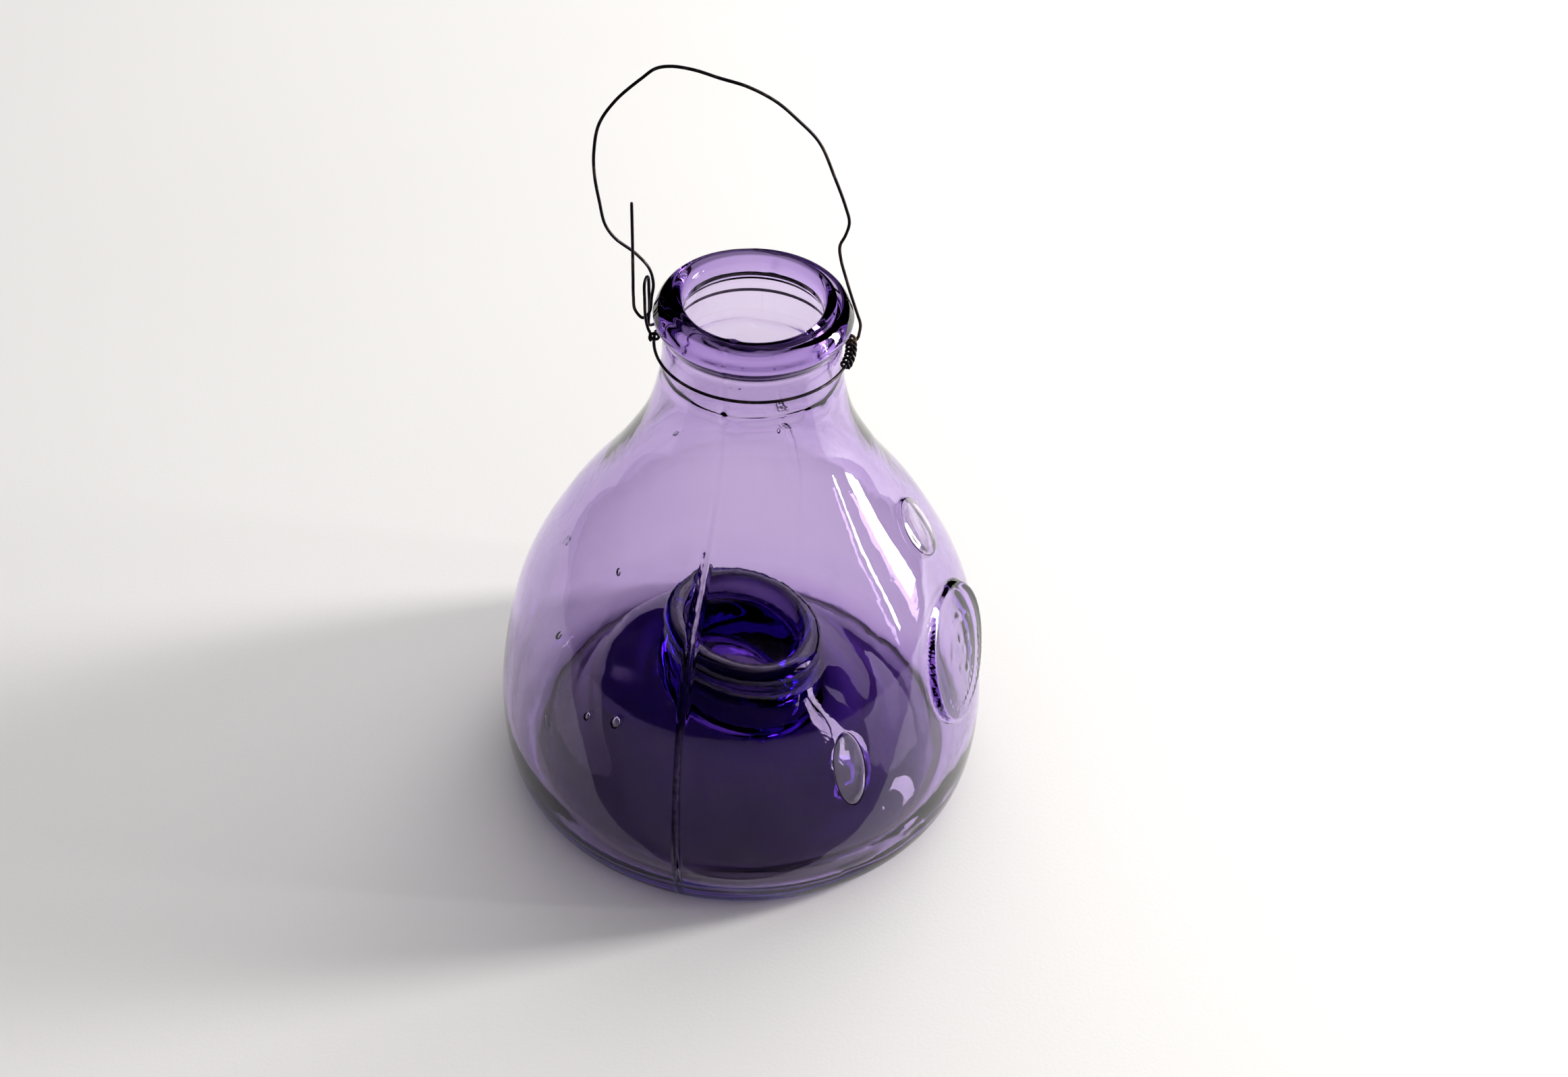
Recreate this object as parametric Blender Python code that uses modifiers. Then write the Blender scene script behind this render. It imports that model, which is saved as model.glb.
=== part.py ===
"""A glass fly trap: a pear-shaped bottle whose floor rises into an open chimney, a wire round its neck, and a bail.

The bottle stands on z = 0 with its axis on Z. Flies climb through the chimney and drown in the moat round it. The
chimney and the dome below it were pressed up a little crooked, and lean to the right. The neck wire turns freely
under the collar and carries an upright eye on the left. The bail hooks through that eye and is wound round the neck
wire on the right.
"""

import math

import bpy
from mathutils import Vector

MM = 0.001

# Driving dimensions, in millimetres
BODY_R = 75.0
GLASS_H = 171.0
COLLAR_R = 27.6
NECK_R = 25.0
MOUTH_R = 19.2
CHIMNEY_R = 24.7
CHIMNEY_H = 51.6
FOOT_INNER_R = 61.0
FOOT_OUTER_R = 66.0
DOME_LEAN = 0.2  # how far the dome drops for each millimetre to the right
LEAN_FULL_R, LEAN_NONE_R = 40.0, 58.0
DOME_TOP_Z = 60.0
WIRE_R = 0.45
RING_R = 27.2
RING_Z = 156.0
WRAP_R = 1.25

TURN_STEPS = 40
SPAN_STEPS = 2
WRAP_STEPS = 10
COIL_TURNS = 7

# (radius, height) from the crown of the lip, down the outside, to the edge of the foot
OUTSIDE = [
    (22.6, GLASS_H), (24.7, 170.5), (26.8, 167.8), (COLLAR_R, 165.6), (26.2, 163.0), (24.8, 160.6), (NECK_R, 157.0),
    (25.6, 148.0), (29.7, 131.0), (39.7, 112.4), (56.0, 89.0), (68.0, 65.0), (73.9, 38.0),
    (BODY_R, 21.0), (73.4, 7.5), (70.5, 1.9), (FOOT_OUTER_R, 0.0),
]
# From the inner edge of the foot, up under the dome, through the chimney's bore and over its rolled lip, down
# into the moat, and up the inside of the wall to the mouth
INSIDE = [
    (FOOT_INNER_R, 0.0), (50.0, 7.0), (41.0, 14.5), (31.0, 20.0), (22.5, 21.5), (16.5, 20.0),
    (13.2, 23.5), (12.6, 30.0), (15.0, 44.0), (18.2, 50.6), (21.2, CHIMNEY_H), (CHIMNEY_R, 48.0),
    (22.8, 42.0), (24.4, 38.6), (34.0, 31.5), (42.0, 25.5), (50.0, 18.0), (61.5, 6.8), (65.5, 5.4),
    (69.6, 8.6), (71.9, 21.0),
    (70.8, 38.0), (65.1, 64.0), (53.2, 87.0), (36.9, 110.4), (26.9, 129.6), (22.7, 146.0),
    (21.7, 157.0), (20.3, 164.2), (MOUTH_R, 166.2), (MOUTH_R, 169.2), (20.4, 170.7), (22.6, GLASS_H),
]

# The eye: its plane stands nearly along the neck's tangent, and leans outwards
EYE_X, EYE_Y = -29.1, 3.1
EYE_YAW = math.radians(14)
EYE_LEAN = 0.3
EYE_FOOT_Z, EYE_TOP_Z = 158.9, 174.0
EYE_HALF = 2.0

# The bail's own bends, from the cut end of its tail, round the hook and over the top to the coil (x, y, z)
BAIL_ROUTE = [
    (-33.0, 1.4, 198.8), (-32.9, 1.5, 187.0), (-32.9, 1.9, 175.5), (-32.9, 2.5, 168.0), (-32.5, 2.9, 163.4),
    (-30.4, 3.1, 160.7), (-28.6, 3.2, 162.6), (-28.0, 3.2, 167.5), (-27.5, 3.3, 172.0), (-28.6, 3.5, 176.8),
    (-32.2, 3.6, 181.4), (-37.6, 3.0, 186.4), (-40.2, 2.8, 190.8), (-41.6, 2.8, 198.0), (-42.7, 2.8, 206.0),
    (-42.7, 2.8, 213.0), (-41.2, 2.8, 221.2), (-36.9, 2.9, 228.1), (-30.0, 3.1, 234.8), (-26.6, 3.2, 237.5),
    (-22.8, 3.3, 238.3), (-17.1, 3.4, 237.4), (-10.5, 3.6, 235.2), (-3.4, 3.7, 233.0), (4.0, 3.9, 228.9),
    (9.8, 4.0, 223.7), (15.6, 4.2, 217.2), (20.2, 4.3, 206.6), (23.4, 4.4, 198.0), (24.7, 4.4, 193.0),
    (23.9, 4.4, 189.0), (22.6, 4.4, 185.6), (23.0, 4.4, 181.6), (24.9, 4.4, 174.8), (26.9, 4.4, 168.4),
    (28.5, 4.4, 163.6), (29.6, 4.4, 160.0), (30.5, 4.4, 157.4),
]


def clear_scene():
    for thing in list(bpy.data.objects):
        bpy.data.objects.remove(thing, do_unlink=True)


def through(points, steps=SPAN_STEPS):
    """A smooth curve through the points: a centripetal Catmull-Rom spline, `steps` pieces a span."""
    knots = [Vector(p) for p in points]
    knots.insert(0, 2 * knots[0] - knots[1])
    knots.append(2 * knots[-1] - knots[-2])
    curve = []
    for p0, p1, p2, p3 in zip(knots, knots[1:], knots[2:], knots[3:]):
        t1 = math.sqrt((p1 - p0).length)
        t2 = t1 + math.sqrt((p2 - p1).length)
        t3 = t2 + math.sqrt((p3 - p2).length)
        for i in range(steps):
            t = t1 + (t2 - t1) * i / steps
            a1 = p0.lerp(p1, t / t1)
            a2 = p1.lerp(p2, (t - t1) / (t2 - t1))
            a3 = p2.lerp(p3, (t - t2) / (t3 - t2))
            b1 = a1.lerp(a2, t / t2)
            b2 = a2.lerp(a3, (t - t1) / (t3 - t1))
            curve.append(b1.lerp(b2, (t - t1) / (t2 - t1)))
    curve.append(knots[-2])
    return curve


def material(name, colour, roughness, metallic, transmission=0.0):
    made = bpy.data.materials.new(name)
    made.use_nodes = True
    shader = made.node_tree.nodes["Principled BSDF"]
    shader.inputs["Base Color"].default_value = (*colour, 1.0)
    shader.inputs["Roughness"].default_value = roughness
    shader.inputs["Metallic"].default_value = metallic
    shader.inputs["Transmission Weight"].default_value = transmission
    made.diffuse_color = (*colour, 1.0)
    return made


def turned(name, outline, collection, finish):
    """A closed outline in the XZ plane, turned about Z."""
    mesh = bpy.data.meshes.new(name)
    corners = [(p[0] * MM, 0.0, p[1] * MM) for p in outline]
    edges = [(i, (i + 1) % len(corners)) for i in range(len(corners))]
    mesh.from_pydata(corners, edges, [])
    mesh.materials.append(finish)
    piece = bpy.data.objects.new(name, mesh)
    collection.objects.link(piece)
    screw = piece.modifiers.new("turn", "SCREW")
    screw.steps = TURN_STEPS
    screw.render_steps = TURN_STEPS
    screw.use_merge_vertices = True
    screw.merge_threshold = 0.00005
    screw.use_smooth_shade = True
    return piece


def lean_dome(piece):
    """Leans the dome and its chimney to the right, by less and less towards the moat. The turning is applied first."""
    turned_piece = piece.evaluated_get(bpy.context.evaluated_depsgraph_get())
    mesh = bpy.data.meshes.new_from_object(turned_piece)
    piece.modifiers.clear()
    piece.data = mesh
    for vertex in mesh.vertices:
        radius = math.hypot(vertex.co.x, vertex.co.y) / MM
        if radius < LEAN_NONE_R and vertex.co.z < DOME_TOP_Z * MM:
            share = min(1.0, max(0.0, (LEAN_NONE_R - radius) / (LEAN_NONE_R - LEAN_FULL_R)))
            vertex.co.z -= DOME_LEAN * vertex.co.x * share * share * (3.0 - 2.0 * share)


def wire(name, points, origin, collection, finish):
    """A round wire through the points, its object's origin at `origin`."""
    curve = bpy.data.curves.new(name, "CURVE")
    curve.dimensions = "3D"
    curve.bevel_depth = WIRE_R * MM
    curve.bevel_resolution = 2
    curve.use_fill_caps = True
    curve.materials.append(finish)
    spline = curve.splines.new("POLY")
    spline.points.add(len(points) - 1)
    for knot, point in zip(spline.points, points):
        knot.co = (*((Vector(point) - Vector(origin)) * MM), 1.0)
    piece = bpy.data.objects.new(name, curve)
    piece.location = Vector(origin) * MM
    collection.objects.link(piece)
    return piece


def on_ring(bearing, out=0.0, up=0.0):
    """A point by the neck wire's circle: `bearing` degrees round the neck, `out` and `up` from the circle."""
    angle = math.radians(bearing)
    radius = RING_R + out
    return Vector((radius * math.cos(angle), radius * math.sin(angle), RING_Z + up))


def wrap(start, end, first, turns, start_r=WRAP_R):
    """Turns of wire round the neck wire, between two bearings. `first` is the lay's angle above the outside."""
    count = round(abs(turns) * WRAP_STEPS)
    points = []
    for i in range(count + 1):
        share = i / count
        lay = math.radians(first - 360 * turns * share)
        reach = max(WRAP_R, start_r - (start_r - WRAP_R) * 2 * i / WRAP_STEPS)
        bearing = start + (end - start) * share
        points.append(on_ring(bearing, reach * math.cos(lay), reach * math.sin(lay)))
    return points


def eye_point(along, height):
    lean = EYE_LEAN * (height - EYE_FOOT_Z) / (EYE_TOP_Z - EYE_FOOT_Z)
    x = EYE_X + along * math.sin(EYE_YAW) - lean
    return Vector((x, EYE_Y + along * math.cos(EYE_YAW), height))


def neck_wire_route():
    """Round the neck from under the eye, up into the eye, down its front limb, and once round its own start."""
    band = [on_ring(bearing) for bearing in range(172, 172 + 336, 8)]
    rise = [Vector((-27.5, 6.8, 156.1)), Vector((-28.7, 5.0, 157.0)), eye_point(0.7, EYE_FOOT_Z)]
    limb = [eye_point(1.45, 160.9), eye_point(EYE_HALF, 163.6), eye_point(EYE_HALF, 168.0)]
    crown_z = EYE_TOP_Z - EYE_HALF
    crown = []
    for turn in range(0, 181, 30):
        angle = math.radians(turn)
        crown.append(eye_point(EYE_HALF * math.cos(angle), crown_z + EYE_HALF * math.sin(angle)))
    fall = [eye_point(-EYE_HALF, 168.0), eye_point(-EYE_HALF, 163.6), eye_point(-1.45, 160.9)]
    fall += [eye_point(-0.7, EYE_FOOT_Z), Vector((-28.8, 2.1, 157.4))]
    shaped = through(band[-1:] + rise + limb + crown + fall + wrap(176, 179.5, 20, 0.1)[:1])
    return band[:-1] + shaped[:-1] + wrap(176, 179.5, 20, 1.2)


def bail_route():
    coil = wrap(9.5, -22.0, -8, COIL_TURNS, start_r=2.6)
    return through(BAIL_ROUTE[:-1] + [coil[0]])[:-1] + coil


def build():
    clear_scene()
    parts = bpy.data.collections.new("glass_fly_trap")
    bpy.context.scene.collection.children.link(parts)
    glass = material("amethyst_glass", (0.42, 0.33, 0.56), 0.05, 0.0, transmission=1.0)
    dark_wire = material("dark_wire", (0.05, 0.035, 0.045), 0.5, 0.85)

    outline = through([(r, z, 0.0) for r, z in OUTSIDE]) + through([(r, z, 0.0) for r, z in INSIDE])[:-1]
    lean_dome(turned("glass_bottle", outline, parts, glass))
    wire("neck_wire", neck_wire_route(), (0, 0, RING_Z), parts, dark_wire)
    wire("bail_wire", bail_route(), on_ring(-6.25), parts, dark_wire)


build()
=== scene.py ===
"""A glass fly trap: an amethyst bottle with a chimney in its floor, a neck wire and a wire bail."""

import math

import bpy
import numpy as np
from mathutils import Matrix, Vector, noise


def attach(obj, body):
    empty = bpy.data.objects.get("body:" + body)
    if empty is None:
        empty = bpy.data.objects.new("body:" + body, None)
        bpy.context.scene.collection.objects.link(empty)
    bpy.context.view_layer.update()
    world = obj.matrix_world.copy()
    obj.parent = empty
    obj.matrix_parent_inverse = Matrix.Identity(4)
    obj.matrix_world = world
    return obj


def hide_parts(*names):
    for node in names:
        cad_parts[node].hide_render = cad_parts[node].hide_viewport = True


MM = 0.001

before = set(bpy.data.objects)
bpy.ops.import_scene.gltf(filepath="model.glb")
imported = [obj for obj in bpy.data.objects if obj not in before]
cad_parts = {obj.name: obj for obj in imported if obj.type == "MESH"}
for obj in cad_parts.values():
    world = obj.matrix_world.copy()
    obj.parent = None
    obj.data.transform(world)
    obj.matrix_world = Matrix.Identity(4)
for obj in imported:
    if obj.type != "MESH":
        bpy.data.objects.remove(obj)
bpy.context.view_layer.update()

# ---------------------------------------------------------------- the bottle's section, in millimetres
# (radius, height) from the crown of the lip down the outside to the edge of the foot
OUTSIDE = [
    (22.6, 171.0), (24.7, 170.5), (26.0, 169.4), (26.9, 167.6), (27.6, 165.8), (27.2, 164.4),
    (26.2, 163.0), (25.1, 161.5), (24.8, 160.2), (25.0, 157.0), (25.6, 148.0), (29.7, 131.0),
    (39.7, 112.4), (56.0, 89.0), (68.0, 65.0), (73.9, 38.0),
    (75.0, 21.0), (73.4, 7.5), (70.5, 1.9), (66.0, 0.0),
]
# under the dome, through the chimney's bore, over its rolled lip and down into the moat
DOME = [
    (61.0, 0.0), (57.0, 2.2), (50.0, 7.0), (41.0, 14.5), (31.0, 20.0), (22.5, 21.5), (16.5, 20.0),
    (13.2, 23.5), (12.6, 30.0), (13.6, 38.0), (15.0, 44.0), (16.6, 48.4), (18.6, 51.0), (21.2, 51.6),
    (23.6, 50.6), (24.7, 48.0), (23.9, 45.0), (22.8, 42.0), (24.4, 38.6), (28.4, 35.3), (34.0, 31.5),
    (42.0, 25.5), (50.0, 18.0), (56.5, 11.0), (61.5, 6.8), (65.5, 5.4), (69.6, 8.6),
]
DOME_LEAN = 0.2  # the dome and its chimney lean to the right: the drop for each millimetre that way
LEAN_FULL_R, LEAN_NONE_R = 40.0, 58.0
# up the inside of the wall to the stepped bore and the lip
INSIDE = [
    (71.9, 21.0), (70.8, 38.0), (65.1, 64.0), (53.2, 87.0), (36.9, 110.4), (26.9, 129.6), (22.7, 146.0),
    (21.7, 157.0), (20.7, 163.3), (20.3, 164.3), (19.5, 164.7), (19.2, 166.0), (19.2, 169.0), (19.6, 170.2),
    (20.8, 170.8), (22.6, 171.0),
]

WIDEST_R = 74.99
BULGE_R = 75.4  # no wave of the surface stands out past this
LIP_TOP = 170.99
BLISTER_DEPTH, SEED_DEPTH = 1.15, 1.25  # under the outside of the wall

SEAM_FRONT = -105.0
SEAM_BACK = 75.0
SEAL_BEARING = -18.7
SEAL_Z = 60.8
SEAL_R = 21.5

# (start bearing, end bearing, degrees a column) round the bottle: fine where the mould left its marks
SECTORS = [
    (-180.0, -108.0, 2.0), (-108.0, -102.0, 0.3), (-102.0, -40.0, 1.6), (-40.0, 3.0, 0.6),
    (3.0, 71.0, 2.0), (71.0, 79.0, 0.5), (79.0, 180.0, 2.0),
]

# (bearing, height, half width, half height, half thickness, tilt) of the gas bubbles in the wall
BLISTERS = [
    (-7.0, 96.5, 8.3, 9.4, 0.62, 0.0),
    (-63.3, 53.0, 4.9, 13.4, 0.75, 6.0),
]
SEEDS = [
    (-137.3, 99.1, 0.75, 1.2, 0.5, 30.0), (-147.1, 74.8, 0.9, 1.7, 0.6, -20.0),
    (-142.9, 48.0, 0.5, 2.3, 0.4, 10.0), (-129.8, 60.7, 1.0, 1.6, 0.6, -15.0),
    (-121.6, 63.7, 1.5, 2.1, 0.7, -10.0), (-72.1, 144.4, 0.5, 0.8, 0.4, 0.0),
    (32.0, 70.0, 0.9, 1.5, 0.5, 20.0), (118.0, 88.0, 0.8, 1.9, 0.5, -12.0),
    (150.0, 52.0, 1.1, 1.5, 0.6, 35.0), (96.0, 118.0, 0.5, 1.3, 0.4, 5.0),
]

# ---------------------------------------------------------------- the wires, in millimetres
WIRE_R = 0.45
RING_R = 27.2
RING_Z = 156.0
WRAP_R = 1.25
COIL_TURNS = 7
EYE_X, EYE_Y = -29.1, 3.1
EYE_YAW = math.radians(14)
EYE_LEAN = 0.3
EYE_FOOT_Z, EYE_TOP_Z = 158.9, 174.0
EYE_HALF = 2.0
BAIL_ROUTE = [
    (-33.0, 1.4, 198.8), (-32.9, 1.5, 187.0), (-32.9, 1.9, 175.5), (-32.9, 2.5, 168.0), (-32.5, 2.9, 163.4),
    (-30.4, 3.1, 160.7), (-28.6, 3.2, 162.6), (-28.0, 3.2, 167.5), (-27.5, 3.3, 172.0), (-28.6, 3.5, 176.8),
    (-32.2, 3.6, 181.4), (-37.6, 3.0, 186.4), (-40.2, 2.8, 190.8), (-41.6, 2.8, 198.0), (-42.7, 2.8, 206.0),
    (-42.7, 2.8, 213.0), (-41.2, 2.8, 221.2), (-36.9, 2.9, 228.1), (-30.0, 3.1, 234.8), (-26.6, 3.2, 237.5),
    (-22.8, 3.3, 238.2), (-17.1, 3.4, 237.4), (-10.5, 3.6, 235.2), (-3.4, 3.7, 233.0), (4.0, 3.9, 228.9),
    (9.8, 4.0, 223.7), (15.6, 4.2, 217.2), (20.2, 4.3, 206.6), (23.4, 4.4, 198.0), (24.7, 4.4, 193.0),
    (23.9, 4.4, 189.0), (22.6, 4.4, 185.6), (23.0, 4.4, 181.6), (24.9, 4.4, 174.8), (26.9, 4.4, 168.4),
    (28.5, 4.4, 163.6), (29.6, 4.4, 160.0), (30.5, 4.4, 157.4),
]


# ---------------------------------------------------------------- finishes
class Value:
    """A socket of a finish's nodes. Arithmetic on it adds Math nodes."""

    def __init__(self, finish, socket):
        self.finish = finish
        self.socket = socket

    def maths(self, operation, first, second=None):
        return self.finish.node("ShaderNodeMath", {"operation": operation}, {0: first, 1: second})

    def __add__(self, other):
        return self.maths("ADD", self, other)

    def __radd__(self, other):
        return self.maths("ADD", other, self)

    def __sub__(self, other):
        return self.maths("SUBTRACT", self, other)

    def __rsub__(self, other):
        return self.maths("SUBTRACT", other, self)

    def __mul__(self, other):
        return self.maths("MULTIPLY", self, other)

    def __rmul__(self, other):
        return self.maths("MULTIPLY", other, self)

    def __abs__(self):
        return self.maths("ABSOLUTE", self)


class Finish:
    """A material, with one method that makes any of its nodes."""

    def __init__(self, name):
        self.material = bpy.data.materials.new(name)
        self.material.use_nodes = True
        self.tree = self.material.node_tree
        self.shader = self.tree.nodes["Principled BSDF"]
        self.output = self.tree.nodes["Material Output"]

    def node(self, kind, settings=None, sockets=None, out=0):
        made = self.tree.nodes.new(kind)
        for key, value in (settings or {}).items():
            if key == "stops":
                ramp = made.color_ramp
                while len(ramp.elements) < len(value):
                    ramp.elements.new(0.5)
                for element, (place, shade) in zip(ramp.elements, value):
                    element.position = place
                    element.color = shade
            else:
                setattr(made, key, value)
        self.fill(made, sockets or {})
        return Value(self, made.outputs[out])

    def fill(self, node, sockets):
        for key, value in sockets.items():
            if value is None:
                continue
            if isinstance(value, Value):
                self.tree.links.new(value.socket, node.inputs[key])
            else:
                node.inputs[key].default_value = value

    def surface(self, **sockets):
        self.fill(self.shader, {key.replace("_", " "): value for key, value in sockets.items()})

    def place(self, scale=(1.0, 1.0, 1.0), turn=(0.0, 0.0, 0.0)):
        """Object coordinates, stretched and turned."""
        coordinates = self.node("ShaderNodeTexCoord", out="Object")
        return self.node("ShaderNodeMapping", {}, {"Vector": coordinates, "Rotation": turn, "Scale": scale})

    def cloud(self, scale, detail=3.0, place=None, rough=0.5, distortion=0.0):
        where = place or self.place()
        return self.node(
            "ShaderNodeTexNoise", {},
            {"Vector": where, "Scale": scale, "Detail": detail, "Roughness": rough, "Distortion": distortion},
        )

    def ramp(self, value, stops):
        greys = [(place, (shade, shade, shade, 1.0)) for place, shade in stops]
        return self.node("ShaderNodeValToRGB", {"stops": greys}, {"Fac": value})

    def step(self, value, none, full):
        """A soft step of a value: 0 at `none`, 1 at `full`."""
        places = {"Value": value, "From Min": none, "From Max": full}
        return self.node("ShaderNodeMapRange", {"interpolation_type": "SMOOTHSTEP"}, places)

    def blend(self, amount, first, second):
        return self.node("ShaderNodeMix", {"data_type": "RGBA"}, {0: amount, 6: first, 7: second}, out=2)

    def bump(self, height, strength, distance, normal=None):
        sockets = {"Height": height, "Strength": strength, "Distance": distance, "Normal": normal}
        return self.node("ShaderNodeBump", {}, sockets)


def amethyst_glass():
    """Old soda glass, violet right through, with a drawn surface, dust in the dimples and fine scratches, and
    painted shade on the dome, chimney, lip, collar and front seam.
    """
    glass = Finish("amethyst_glass")
    ripple = glass.cloud(95.0, 2.0, glass.place((1.0, 1.0, 0.55)))
    hammer = glass.cloud(420.0, 2.0)
    skin = glass.bump(ripple, 0.12, 0.0006)
    skin = glass.bump(hammer, 0.05, 0.0002, skin)
    scratch_place = glass.place((900.0, 900.0, 70.0), (0.5, 0.9, 0.3))
    scratches = glass.ramp(glass.cloud(1.0, 2.0, scratch_place), [(0.0, 0.0), (0.66, 0.0), (0.72, 1.0)])
    dust = glass.ramp(glass.cloud(38.0, 6.0, rough=0.65), [(0.0, 0.0), (0.56, 0.0), (0.75, 1.0)])
    # a smeary noise for the roughness, also used to break up the painted shade on the dome
    smear_and_shade_noise = glass.cloud(14.0, 4.0, glass.place((1.0, 1.0, 0.4)), distortion=0.8)
    roughness = 0.008 + 0.05 * dust + 0.05 * scratches + 0.03 * glass.ramp(smear_and_shade_noise, [(0.45, 0.0), (0.8, 1.0)])
    where = glass.node("ShaderNodeTexCoord", out="Object")
    level = glass.node("ShaderNodeMapping", {}, {"Vector": where, "Scale": (1.0, 1.0, 0.0)})
    reach = glass.node("ShaderNodeVectorMath", {"operation": "LENGTH"}, {0: level}, out=1)
    height = glass.node("ShaderNodeSeparateXYZ", {}, {0: where}, out=2)

    # painted shade on the dome, in place of the shaded floor under it: none in the chimney's bore, and
    # lighter to the right and back, toward the lamps
    bore = glass.step(height, 0.036, 0.044) * glass.step(reach, 0.0202, 0.0190)
    dome = glass.step(reach, 0.066, 0.058) * glass.step(height, 0.062, 0.058)
    painted_dome_shade = dome * (1.0 - bore)
    # the direction toward the lamps, which stand to the right and back
    right_and_back = {0: where, 1: (0.75, 0.65, 0.0)}
    toward_lamps = glass.node("ShaderNodeVectorMath", {"operation": "DOT_PRODUCT"}, right_and_back, out=1)
    painted_dome_shade = painted_dome_shade * glass.step(toward_lamps, 0.042, 0.014)

    # painted shade: a dark line along the foot of the front seam, in place of the darkness its ridge gives by
    # refraction
    seam_place = glass.place(turn=(0.0, 0.0, math.radians(-SEAM_FRONT)))
    along = glass.node("ShaderNodeSeparateXYZ", {}, {0: seam_place}, out=0)
    across = glass.node("ShaderNodeSeparateXYZ", {}, {0: seam_place}, out=1)
    seam = glass.step(abs(across - 0.0021 + 0.030 * height), 0.0010, 0.0004) * glass.step(along, 0.03, 0.04)
    seam = seam * (1.0 - dome) * glass.step(height, 0.112, 0.100)
    seam = seam * glass.ramp(hammer, [(0.3, 0.45), (0.55, 1.0)])

    # painted shade: a near-black band under the front of the collar, and a dark crown of the lip
    collar_shade = glass.step(height, 0.1602, 0.1615) * glass.step(height, 0.1655, 0.1643)
    front = glass.node("ShaderNodeSeparateXYZ", {}, {0: where}, out=1)
    collar_shade = collar_shade * glass.step(reach, 0.0240, 0.0246) * glass.step(front, 0.012, -0.004)
    crown = glass.step(height, 0.1696, 0.1702) * glass.step(reach, 0.0203, 0.0212)
    crown = crown * glass.step(reach, 0.0254, 0.0247)

    # the tints, each laid over the one before: the dust, and after it painted shade
    tint = glass.blend(dust, (1.0, 0.995, 1.0, 1.0), (0.93, 0.925, 0.94, 1.0))
    # painted shade on the chimney's rolled rim
    chimney_rim_shade = glass.step(height, 0.0450, 0.0480) * glass.step(reach, 0.0190, 0.0202)
    chimney_rim_shade = chimney_rim_shade * glass.step(reach, 0.0262, 0.0254)
    # painted shade: the dome darkened, less toward the lamps
    tint = glass.blend(painted_dome_shade, tint, (0.44, 0.39, 0.58, 1.0))
    # painted shade: darker still at the foot of the chimney's bore
    throat_shade = glass.step(reach, 0.0235, 0.0200) * glass.step(height, 0.034, 0.028)
    tint = glass.blend(dome * throat_shade, tint, (0.24, 0.20, 0.30, 1.0))
    # painted shade: darker patches on the dome, on the side away from the lamps
    patchy_dome_shade = glass.step(toward_lamps, -0.006, -0.030) * glass.ramp(smear_and_shade_noise, [(0.3, 0.4), (0.6, 1.0)])
    tint = glass.blend(painted_dome_shade * patchy_dome_shade * 0.6, tint, (0.20, 0.21, 0.26, 1.0))
    # painted shade, darker on the chimney's rim
    tint = glass.blend(painted_dome_shade * chimney_rim_shade, tint, (0.14, 0.12, 0.18, 1.0))
    # painted shade on the crown of the lip
    tint = glass.blend(crown * 0.86, tint, (0.04, 0.035, 0.06, 1.0))
    # painted shade under the front of the collar
    tint = glass.blend(collar_shade, tint, (0.012, 0.008, 0.020, 1.0))
    # painted shade along the front seam
    tint = glass.blend(seam * 0.9, tint, (0.16, 0.13, 0.22, 1.0))
    glass.surface(
        Base_Color=tint, Roughness=roughness, Normal=skin, IOR=1.5, Transmission_Weight=1.0, Metallic=0.0,
    )
    violet = {"Color": (0.358, 0.039, 0.722, 1.0), "Density": 110.0}
    body = glass.node("ShaderNodeVolumeAbsorption", {}, violet)
    glass.tree.links.new(body.socket, glass.output.inputs["Volume"])
    return glass.material


def dark_wire():
    """Black annealed iron wire: drawn along its length, scaled, with a little rust and rubbed highs."""
    iron = Finish("dark_wire")
    scale = iron.cloud(900.0, 5.0, rough=0.7)
    rust = iron.ramp(iron.cloud(160.0, 4.0, rough=0.6), [(0.52, 0.0), (0.68, 1.0)])
    rubbed = iron.ramp(iron.cloud(420.0, 3.0), [(0.58, 0.0), (0.7, 1.0)])
    tone = iron.blend(scale, (0.010, 0.007, 0.012, 1.0), (0.030, 0.021, 0.030, 1.0))
    tone = iron.blend(rust, tone, (0.060, 0.028, 0.018, 1.0))
    tone = iron.blend(rubbed, tone, (0.085, 0.075, 0.085, 1.0))
    roughness = 0.42 + 0.3 * rust - 0.12 * rubbed
    metal = 0.75 - 0.5 * rust
    skin = iron.bump(scale, 0.5, 0.00008)
    iron.surface(Base_Color=tone, Roughness=roughness, Metallic=metal, Normal=skin)
    return iron.material


def pale_paper():
    paper = Finish("pale_paper")
    mottle = paper.cloud(5.0, 4.0)
    fibre = paper.cloud(900.0, 4.0)
    tone = paper.blend(mottle, (0.80, 0.785, 0.775, 1.0), (0.84, 0.825, 0.815, 1.0))
    paper.surface(Base_Color=tone, Roughness=0.75, Normal=paper.bump(fibre, 0.1, 0.0003))
    return paper.material


# ---------------------------------------------------------------- small helpers
def deselect():
    if bpy.context.object and bpy.context.object.mode != "OBJECT":
        bpy.ops.object.mode_set(mode="OBJECT")
    bpy.ops.object.select_all(action="DESELECT")


def pick(piece):
    """Selects one object alone and makes it the active one."""
    deselect()
    piece.select_set(True)
    bpy.context.view_layer.objects.active = piece


def settle(piece):
    """Puts the object's place into its mesh."""
    pick(piece)
    bpy.ops.object.transform_apply(location=True, rotation=True, scale=True)


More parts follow.
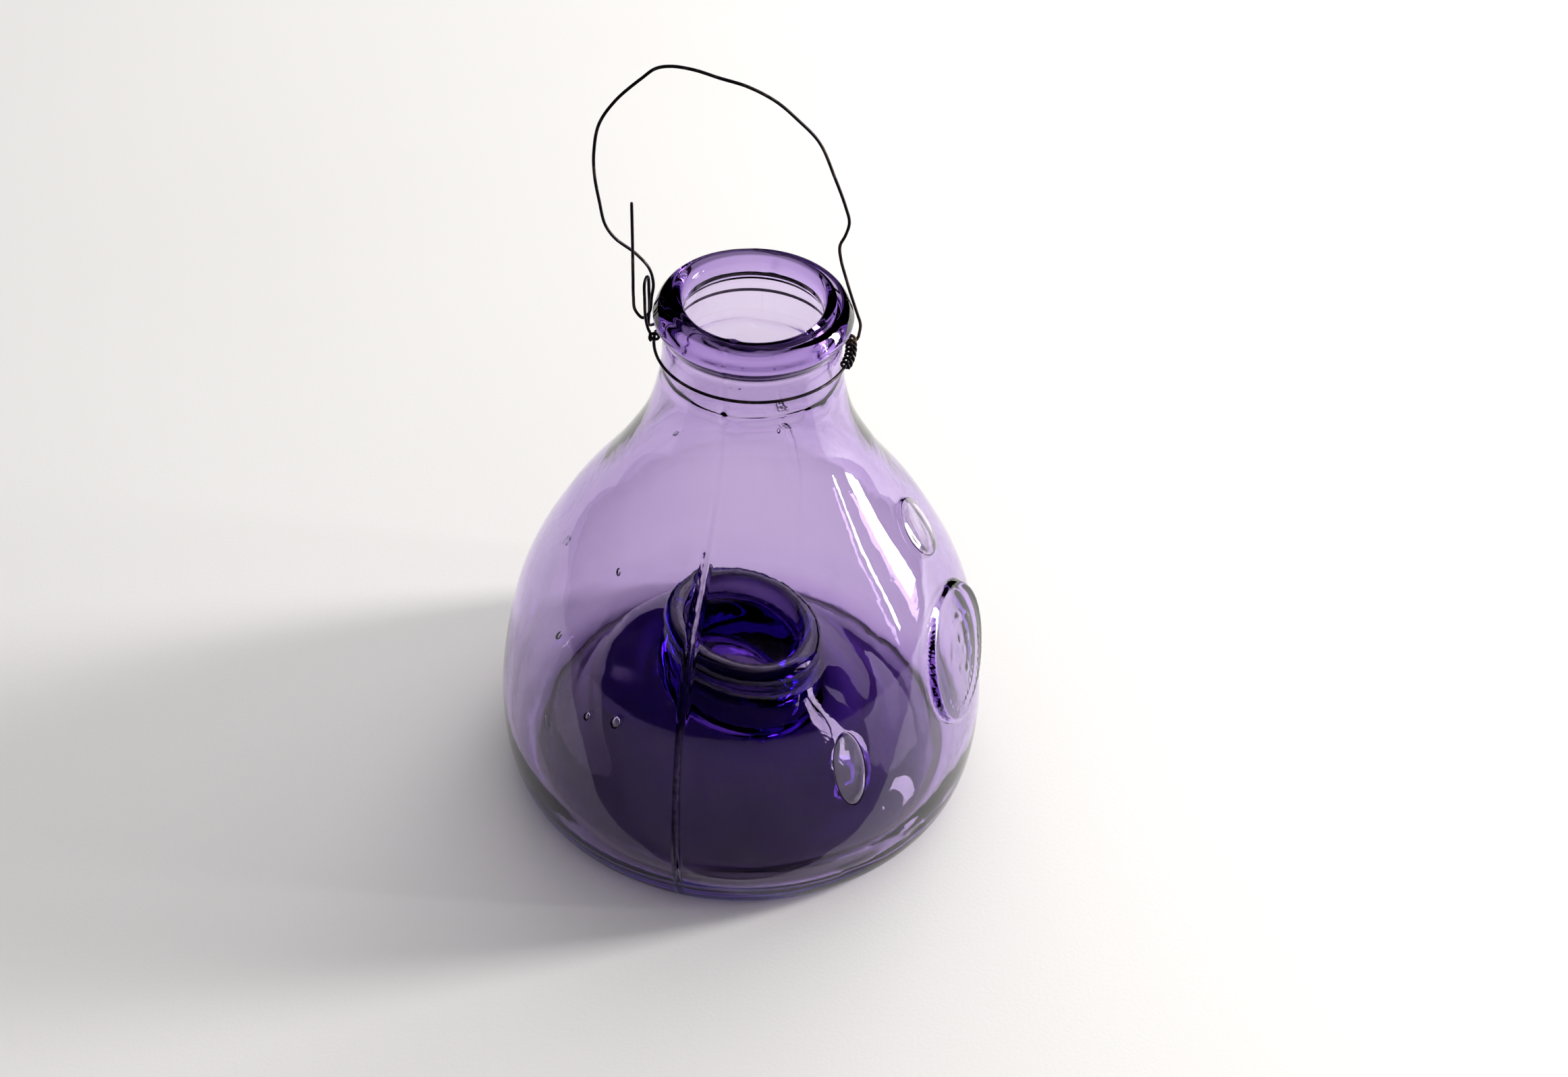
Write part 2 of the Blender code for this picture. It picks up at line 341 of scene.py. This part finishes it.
def through(points, spacing):
    """A smooth curve through the points (centripetal Catmull-Rom), its steps about `spacing(point)` long."""
    knots = [Vector(p) for p in points]
    knots.insert(0, 2 * knots[0] - knots[1])
    knots.append(2 * knots[-1] - knots[-2])
    curve = []
    for p0, p1, p2, p3 in zip(knots, knots[1:], knots[2:], knots[3:]):
        t1 = math.sqrt((p1 - p0).length)
        t2 = t1 + math.sqrt((p2 - p1).length)
        t3 = t2 + math.sqrt((p3 - p2).length)
        steps = max(1, round((p2 - p1).length / spacing((p1 + p2) / 2)))
        for i in range(steps):
            t = t1 + (t2 - t1) * i / steps
            a1 = p0.lerp(p1, t / t1)
            a2 = p1.lerp(p2, (t - t1) / (t2 - t1))
            a3 = p2.lerp(p3, (t - t2) / (t3 - t2))
            b1 = a1.lerp(a2, t / t2)
            b2 = a2.lerp(a3, (t - t1) / (t3 - t1))
            curve.append(b1.lerp(b2, (t - t1) / (t2 - t1)))
    curve.append(knots[-2])
    return curve


def curve_piece(name, runs, bevel=0.0, closed=False):
    """A curve object whose splines run through the given points, in metres."""
    deselect()
    bpy.ops.curve.primitive_bezier_curve_add(location=(0, 0, 0))
    piece = bpy.context.object
    piece.name = name
    curve = piece.data
    curve.splines.clear()
    curve.dimensions = "3D"
    curve.bevel_depth = bevel
    curve.bevel_resolution = 4
    curve.use_fill_caps = bevel > 0
    for points in runs:
        spline = curve.splines.new("POLY")
        spline.points.add(len(points) - 1)
        spline.use_cyclic_u = closed
        for knot, point in zip(spline.points, points):
            knot.co = (*point, 1.0)
    return piece


# ---------------------------------------------------------------- the glass bottle
def outside_spacing(point):
    z = point.z
    if z > 142:
        return 0.85
    if z > 108:
        return 1.9
    if z > 36:
        return 1.05
    return 1.7


def dome_spacing(point):
    return 1.25 if point.x < 27 else 2.6


def inside_spacing(point):
    return 0.8 if point.z > 142 else 3.6


outer_line = through([(r, 0.0, z) for r, z in OUTSIDE], outside_spacing)
dome_line = through([(r, 0.0, z) for r, z in [OUTSIDE[-1], *DOME, INSIDE[0]]], dome_spacing)
inner_line = through([(r, 0.0, z) for r, z in [DOME[-1], *INSIDE]], inside_spacing)
for spot in outer_line:
    spot.x = min(spot.x, WIDEST_R)


def trim_joint(line, first, last):
    """The part of a line between two of its knots."""
    start = min(range(len(line)), key=lambda i: (line[i] - first).length)
    end = min(range(len(line)), key=lambda i: (line[i] - last).length)
    return line[start:end + 1]


def radius_at(line, height):
    """The radius of a wall's section at a height."""
    heights = np.array([p.z for p in line])
    radii = np.array([p.x for p in line])
    order = np.argsort(heights)
    return np.interp(height, heights[order], radii[order])


def wall_spot(bearing, height, depth):
    """A place in the wall: its point `depth` mm under the outside, and axes along the wall, up it and out."""
    slope = float(radius_at(outer_line, height + 1.5) - radius_at(outer_line, height - 1.5)) / 3.0
    angle = math.radians(bearing)
    around = Vector((-math.sin(angle), math.cos(angle), 0.0))
    radial = Vector((math.cos(angle), math.sin(angle), 0.0))
    out = (radial - slope * Vector((0, 0, 1))).normalized()
    up = out.cross(around)
    point = radial * float(radius_at(outer_line, height)) + Vector((0, 0, height)) - out * depth
    return point, around, up, out


def smooth_step(value, low, high):
    share = np.clip((value - low) / (high - low), 0.0, 1.0)
    return share * share * (3.0 - 2.0 * share)


def wobble(points, size, seed):
    """Gentle noise, -1 to 1, over the points, with swells about `size` mm across."""
    shift = Vector((seed * 7.3, seed * 3.1, seed * 5.7))
    return np.array([noise.noise(Vector(p) * (1000.0 / size) * MM + shift) for p in points])


def apart(bearing, target):
    """Degrees between bearings, -180 to 180."""
    return (bearing - target + 180.0) % 360.0 - 180.0


def seam_height(bearing, radius, height, seam, lean):
    """The ridge that a mould's joint leaves, beaded where the halves met badly."""
    line = seam + lean * (height - 14.0) / 135.0
    across = np.radians(apart(bearing, line)) * radius
    ridge = 0.4 * np.exp(-(across / 0.65) ** 2) - 0.25 * np.exp(-((across - 1.4) / 0.6) ** 2)
    beads = np.zeros_like(ridge)
    for index, z in enumerate((110.5, 108.4, 105.9, 103.9, 101.2, 99.3, 96.8, 94.5, 92.6)):
        off = 0.5 * math.sin(index * 2.4)
        beads += 0.55 * np.exp(-((across - off) / 0.75) ** 2 - ((height - z) / 0.7) ** 2)
    fade = smooth_step(height, 3.0, 8.0) * (1.0 - 0.75 * smooth_step(height, 112.0, 125.0))
    return ridge * fade + beads


def seal_height(bearing, radius, height):
    """A flat round plaque on the curved wall: a sharp edge, a border, and plain ribs and dots."""
    turn = np.radians(apart(bearing, SEAL_BEARING))
    across = turn * radius
    slant = 1.06
    up = (height - SEAL_Z) * slant
    reach = np.hypot(across, up)
    plaque = 1.0 - smooth_step(reach, SEAL_R - 0.9, SEAL_R + 0.25)
    flat = 0.55 * radius * (1.0 / np.cos(np.clip(turn, -0.5, 0.5)) - 1.0)
    lift = plaque * (0.35 + flat)
    lift += 0.28 * np.exp(-((reach - (SEAL_R - 1.5)) / 0.7) ** 2)
    angle = np.degrees(np.arctan2(up, across))
    border = np.exp(-((reach - 16.2) / 1.5) ** 2)
    lower = smooth_step(-angle, 5.0, 25.0) * (1.0 - smooth_step(-angle, 150.0, 172.0))
    ribs = 0.5 + 0.5 * np.cos(np.radians(angle) * 44.0)
    lift += 0.42 * border * lower * ribs ** 3
    upper = smooth_step(angle, 20.0, 40.0) * (1.0 - smooth_step(angle, 140.0, 160.0))
    lift += 0.3 * np.exp(-((reach - 11.5) / 0.8) ** 2) * upper
    for step in range(6):
        around = math.radians(step * 60 + 30)
        spot = np.hypot(across - 5.5 * math.cos(around), up - 5.5 * math.sin(around))
        lift += 0.3 * np.exp(-(spot / 1.0) ** 2) * plaque
    return lift


def outside_lift(bearing, radius, height, points):
    """How far each point of the outside stands off the true section, in millimetres."""
    lift = -0.10 + 0.10 * wobble(points, 42.0, 1)
    lift += -0.015 + 0.015 * wobble(points, 11.0, 2)
    lift *= smooth_step(height, 1.5, 12.0)
    lift += seam_height(bearing, radius, height, SEAM_FRONT + 1.5, -3.5)
    back_fade = 0.7 * (1.0 - smooth_step(height, 105.0, 120.0))
    lift += back_fade * seam_height(bearing, radius, height, SEAM_BACK, 1.0)
    lift += seal_height(bearing, radius, height)
    for spot_bearing, spot_height, half_width, half_height, _, _ in BLISTERS:
        across = np.radians(apart(bearing, spot_bearing)) * radius
        reach = np.hypot(across / (half_width * 1.08), (height - spot_height) / (half_height * 0.95))
        lift += 0.55 * (1.0 - smooth_step(reach, 0.70, 1.0))
    across = np.radians(apart(bearing, -107.0)) * radius
    lift += 0.9 * np.exp(-(across / 0.8) ** 2 - ((height - 149.2) / 1.9) ** 2)
    for bearing_mid, z_mid, half in ((-60.0, 12.5, 6.5), (-43.0, 13.5, 3.5)):
        across = np.radians(apart(bearing, bearing_mid)) * radius
        tilt = z_mid + 0.1 * across
        ends = 1.0 - smooth_step(np.abs(across), half - 1, half)
        lift -= 0.8 * np.exp(-((height - tilt) / 0.8) ** 2) * ends
    return lift


def build_glass(finish):
    """Turns the section into the bottle, works its surface over, and sets bubbles in the wall."""
    section = outer_line[:-1] + dome_line[:-1]
    tail = trim_joint(inner_line, Vector((INSIDE[0][0], 0, INSIDE[0][1])), inner_line[-1])
    section += tail
    start = math.radians(SECTORS[0][0])
    turned = [
        (p.x * MM * math.cos(start), p.x * MM * math.sin(start), p.z * MM) for p in section
    ]
    bottle = curve_piece("amethyst_bottle", [turned])
    bpy.ops.object.convert(target="MESH")
    bottle = bpy.context.object
    bottle.name = "amethyst_bottle"
    bottle.data.name = "amethyst_bottle"
    bpy.ops.object.mode_set(mode="EDIT")
    bpy.ops.mesh.select_all(action="SELECT")
    for first, last, width in SECTORS:
        steps = round((last - first) / width)
        bpy.ops.mesh.spin(steps=steps, angle=math.radians(last - first), center=(0, 0, 0), axis=(0, 0, -1))
    bpy.ops.mesh.select_all(action="SELECT")
    bpy.ops.mesh.remove_doubles(threshold=0.00002)
    bpy.ops.mesh.normals_make_consistent(inside=False)
    bpy.ops.object.mode_set(mode="OBJECT")

    mesh = bottle.data
    count = len(mesh.vertices)
    points = np.zeros(count * 3)
    mesh.vertices.foreach_get("co", points)
    points = points.reshape(-1, 3) / MM
    normals = np.zeros(count * 3)
    mesh.vertices.foreach_get("normal", normals)
    normals = normals.reshape(-1, 3)
    radius = np.hypot(points[:, 0], points[:, 1])
    bearing = np.degrees(np.arctan2(points[:, 1], points[:, 0]))
    height = points[:, 2]
    outer = np.abs(radius - radius_at(outer_line, height)) < 0.12
    outer &= (height < 170.6) | (radius > 23.5)
    inner = np.abs(radius - radius_at(tail, height)) < 0.25
    inner &= ~outer & (height > 9.0)
    dome = ~outer & ~inner

    lift = np.zeros(count)
    lift[outer] = outside_lift(bearing[outer], radius[outer], height[outer], points[outer])
    waves = 0.25 * wobble(points, 34.0, 3) + 0.02 * wobble(points, 9.0, 4)
    lift[inner] = waves[inner] * (1.0 - 0.6 * smooth_step(height[inner], 140.0, 160.0))
    crease = 147.0 + 1.1 * wobble(points, 16.0, 5) + 0.5 * wobble(points, 5.0, 6)
    fold = 0.75 * np.exp(-((height - crease) / 0.7) ** 2)
    lift[inner] += fold[inner]
    grounded = smooth_step(height, 0.5, 6.0)
    lift[dome] = (0.25 * wobble(points, 24.0, 7))[dome] * grounded[dome]
    points += normals * lift[:, None]

    lip = (height > 165.0) & (radius < 24.0)
    for seam, size in ((SEAM_FRONT, 1.0), (SEAM_BACK, 1.2)):
        across = np.radians(apart(bearing, seam)) * radius
        nub = size * np.exp(-(across / 1.5) ** 2 - ((height - 169.6) / 1.3) ** 2)
        pull = np.stack([np.cos(np.radians(bearing)), np.sin(np.radians(bearing)), 0 * bearing], 1)
        points[lip] -= (pull * nub[:, None])[lip]
    chimney = smooth_step(height, 40.0, 50.0) * (radius < 30) * dome
    points[:, 2] += chimney * 0.4 * wobble(points * (1, 1, 0), 20.0, 9)
    points[:, 2] -= dome * DOME_LEAN * points[:, 0] * (1.0 - smooth_step(radius, LEAN_FULL_R, LEAN_NONE_R))

    points[:, 2] = np.clip(points[:, 2], 0.0, LIP_TOP)
    reach = np.hypot(points[:, 0], points[:, 1])
    points[:, :2] *= np.minimum(1.0, BULGE_R / np.maximum(reach, 1e-6))[:, None]
    points[:, :2] = np.clip(points[:, :2], -WIDEST_R, WIDEST_R)
    mesh.vertices.foreach_set("co", (points * MM).ravel())
    mesh.update()

    bubbles = [bottle]
    for index, (where, z, half_width, half_height, half_depth, tilt) in enumerate(BLISTERS + SEEDS):
        fine = index < len(BLISTERS)
        point, around, up, out = wall_spot(where, z, BLISTER_DEPTH if fine else SEED_DEPTH)
        deselect()
        bpy.ops.mesh.primitive_uv_sphere_add(
            segments=40 if fine else 16, ring_count=20 if fine else 10, radius=1.0, location=(0, 0, 0)
        )
        bubble = bpy.context.object
        spin = Matrix.Rotation(math.radians(tilt), 3, "Z")
        axes = Matrix((around, up, out)).transposed() @ spin
        size = Matrix.Diagonal((half_width * MM, half_height * MM, half_depth * MM))
        bubble.matrix_world = Matrix.Translation(point * MM) @ (axes @ size).to_4x4()
        bpy.context.view_layer.update()
        for vertex in bubble.data.vertices:
            bend = vertex.co.x ** 2 * half_width ** 2 / (2 * math.hypot(point.x, point.y)) / half_depth
            vertex.co.z = math.copysign(math.sqrt(abs(vertex.co.z)), vertex.co.z) - bend
        settle(bubble)
        bpy.ops.object.mode_set(mode="EDIT")
        bpy.ops.mesh.select_all(action="SELECT")
        bpy.ops.mesh.normals_make_consistent(inside=True)
        bpy.ops.object.mode_set(mode="OBJECT")
        bubbles.append(bubble)
    deselect()
    for piece in bubbles:
        piece.select_set(True)
    bpy.context.view_layer.objects.active = bottle
    bpy.ops.object.join()
    bpy.ops.object.shade_smooth()
    bottle.data.materials.clear()
    bottle.data.materials.append(finish)
    return bottle


# ---------------------------------------------------------------- the wires
def on_ring(bearing, out=0.0, up=0.0):
    """A point by the neck wire's circle: `bearing` degrees round the neck, `out` and `up` from the circle."""
    angle = math.radians(bearing)
    radius = RING_R + out
    return Vector((radius * math.cos(angle), radius * math.sin(angle), RING_Z + up))


def wrap(start, end, first, turns, start_r=WRAP_R):
    """Turns of wire round the neck wire, between bearings. `first` is the lay's angle above the outside."""
    count = round(abs(turns) * 20)
    points = []
    for i in range(count + 1):
        share = i / count
        lay = math.radians(first - 360 * turns * share)
        reach = max(WRAP_R, start_r - (start_r - WRAP_R) * i / 10)
        bearing = start + (end - start) * share
        points.append(on_ring(bearing, reach * math.cos(lay), reach * math.sin(lay)))
    return points


def eye_point(along, height):
    lean = EYE_LEAN * (height - EYE_FOOT_Z) / (EYE_TOP_Z - EYE_FOOT_Z)
    x = EYE_X + along * math.sin(EYE_YAW) - lean
    return Vector((x, EYE_Y + along * math.cos(EYE_YAW), height))


def neck_wire_route():
    """Round the neck from under the eye, up into the eye, down its front limb, and round its own start."""
    band = [on_ring(bearing) for bearing in range(172, 172 + 336, 4)]
    rise = [Vector((-27.5, 6.8, 156.1)), Vector((-28.7, 5.0, 157.0)), eye_point(0.7, EYE_FOOT_Z)]
    limb = [eye_point(1.45, 160.9), eye_point(EYE_HALF, 163.6), eye_point(EYE_HALF, 168.0)]
    crown_z = EYE_TOP_Z - EYE_HALF
    crown = []
    for turn in range(0, 181, 30):
        angle = math.radians(turn)
        crown.append(eye_point(EYE_HALF * math.cos(angle), crown_z + EYE_HALF * math.sin(angle)))
    fall = [eye_point(-EYE_HALF, 168.0), eye_point(-EYE_HALF, 163.6), eye_point(-1.45, 160.9)]
    fall += [eye_point(-0.7, EYE_FOOT_Z), Vector((-28.8, 2.1, 157.4))]
    shaped = through(band[-1:] + rise + limb + crown + fall + wrap(176, 179.5, 20, 0.1)[:1], lambda p: 0.6)
    return band[:-1] + shaped[:-1] + wrap(176, 179.5, 20, 1.2)


def bail_route():
    coil = wrap(9.5, -22.0, -8, COIL_TURNS, start_r=2.6)
    return through(BAIL_ROUTE[:-1] + [coil[0]], lambda p: 0.6)[:-1] + coil


def build_wire(name, route, finish, seed):
    """A round wire along the route, with the small dents and the snipped ends that pliers leave."""
    piece = curve_piece(name, [[p * MM for p in route]], bevel=WIRE_R * MM)
    for index, knot in enumerate(piece.data.splines[0].points):
        knot.radius = 0.97 + 0.03 * noise.noise(Vector((index * 0.13, seed, 0.0)))
    for end in (0, -1):
        piece.data.splines[0].points[end].radius = 0.8
    pick(piece)
    bpy.ops.object.convert(target="MESH")
    piece = bpy.context.object
    piece.name = name
    piece.data.name = name
    bpy.ops.object.mode_set(mode="EDIT")
    bpy.ops.mesh.select_all(action="SELECT")
    bpy.ops.mesh.remove_doubles(threshold=0.00001)
    bpy.ops.mesh.normals_make_consistent(inside=False)
    bpy.ops.object.mode_set(mode="OBJECT")
    bpy.ops.object.shade_smooth_by_angle(angle=math.radians(50))
    piece.data.materials.clear()
    piece.data.materials.append(finish)
    return piece


# ---------------------------------------------------------------- floor, light and camera
def softbox(name, place, target, size, power, shade=(1.0, 1.0, 1.0)):
    light = bpy.data.lights.new(name, "AREA")
    light.shape = "RECTANGLE"
    light.size, light.size_y = size
    light.energy = power
    light.color = shade
    lamp = bpy.data.objects.new(name, light)
    bpy.context.scene.collection.objects.link(lamp)
    lamp.location = place
    lamp.rotation_euler = (Vector(target) - Vector(place)).to_track_quat("-Z", "Y").to_euler()
    return lamp


FLOOR_R = 0.8
FRONT_EDGE = -0.085  # in front of this the glass doesn't mirror the floor


def build_studio():
    paper = pale_paper()
    for name, front in (("floor", False), ("floor_front", True)):
        deselect()
        bpy.ops.mesh.primitive_circle_add(vertices=96, radius=FLOOR_R, fill_type="NGON", location=(0, 0, 0))
        floor = bpy.context.object
        floor.name = name
        bpy.ops.object.mode_set(mode="EDIT")
        bpy.ops.mesh.select_all(action="SELECT")
        bpy.ops.mesh.bisect(
            plane_co=(0, FRONT_EDGE, 0), plane_no=(0, 1, 0), clear_inner=not front, clear_outer=front
        )
        bpy.ops.object.mode_set(mode="OBJECT")
        floor.data.materials.append(paper)
        floor.visible_glossy = not front
    deselect()
    bpy.ops.mesh.primitive_plane_add(size=12.0, location=(0, 0, -0.0004))
    far_floor = bpy.context.object
    far_floor.name = "far_floor"
    far_floor.data.materials.append(paper)
    far_floor.visible_glossy = False
    far_floor.visible_transmission = False

    world = bpy.data.worlds.new("studio")
    bpy.context.scene.world = world
    world.use_nodes = True
    world.node_tree.nodes["Background"].inputs["Color"].default_value = (0.98, 0.98, 1.0, 1.0)
    world.node_tree.nodes["Background"].inputs["Strength"].default_value = 0.30
    world.cycles_visibility.glossy = False
    world.cycles_visibility.transmission = False

    key = softbox("key", (1.15, 1.5, 0.95), (0.0, 0.1, 0.0), (1.7, 1.2), 14.0, (1.0, 0.985, 0.965))
    skylight = softbox("skylight", (0.3, 1.9, 1.5), (0.0, 0.0, 0.0), (2.4, 2.4), 21.0, (1.0, 0.99, 0.98))
    overhead = softbox("overhead", (0.0, 1.0, 2.2), (0.0, 0.0, 0.0), (3.0, 3.0), 14.0, (1.0, 0.99, 0.98))
    for lamp in (key, skylight, overhead):
        lamp.visible_glossy = False
    window = softbox("window", (1.35, 0.30, 0.42), (0.0, 0.0, 0.08), (0.22, 0.8), 30.0, (1.0, 0.99, 0.96))
    window_edge = softbox("window_edge", (1.25, -0.12, 0.35), (0.0, 0.0, 0.08), (0.03, 0.5), 2.5)
    for lamp in (key, skylight, overhead, window, window_edge):
        lamp.visible_camera = False

    view = bpy.data.cameras.new("camera")
    camera = bpy.data.objects.new("camera", view)
    bpy.context.scene.collection.objects.link(camera)
    view.sensor_width = 36.0
    view.lens = 49.59
    view.clip_start = 0.01
    view.clip_end = 50.0
    right = Vector((0.99932, 0.00828, 0.03583))
    up = Vector((-0.03238, 0.66007, 0.75051))
    back = right.cross(up)
    camera.matrix_world = (
        Matrix.Translation((0.0, -0.48307, 0.50869)) @ Matrix((right, up, back)).transposed().to_4x4()
    )
    bpy.context.scene.camera = camera
    bpy.context.scene.view_settings.view_transform = "Standard"


deselect()
build_studio()
glass_finish = amethyst_glass()
wire_finish = dark_wire()

bottle = build_glass(glass_finish)
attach(bottle, "bottle")
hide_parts("glass_bottle")

neck = build_wire("neck_wire_round", neck_wire_route(), wire_finish, 1.5)
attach(neck, "neck_ring")
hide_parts("neck_wire")

bail = build_wire("bail_wire_round", bail_route(), wire_finish, 4.5)
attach(bail, "bail")
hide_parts("bail_wire")
deselect()
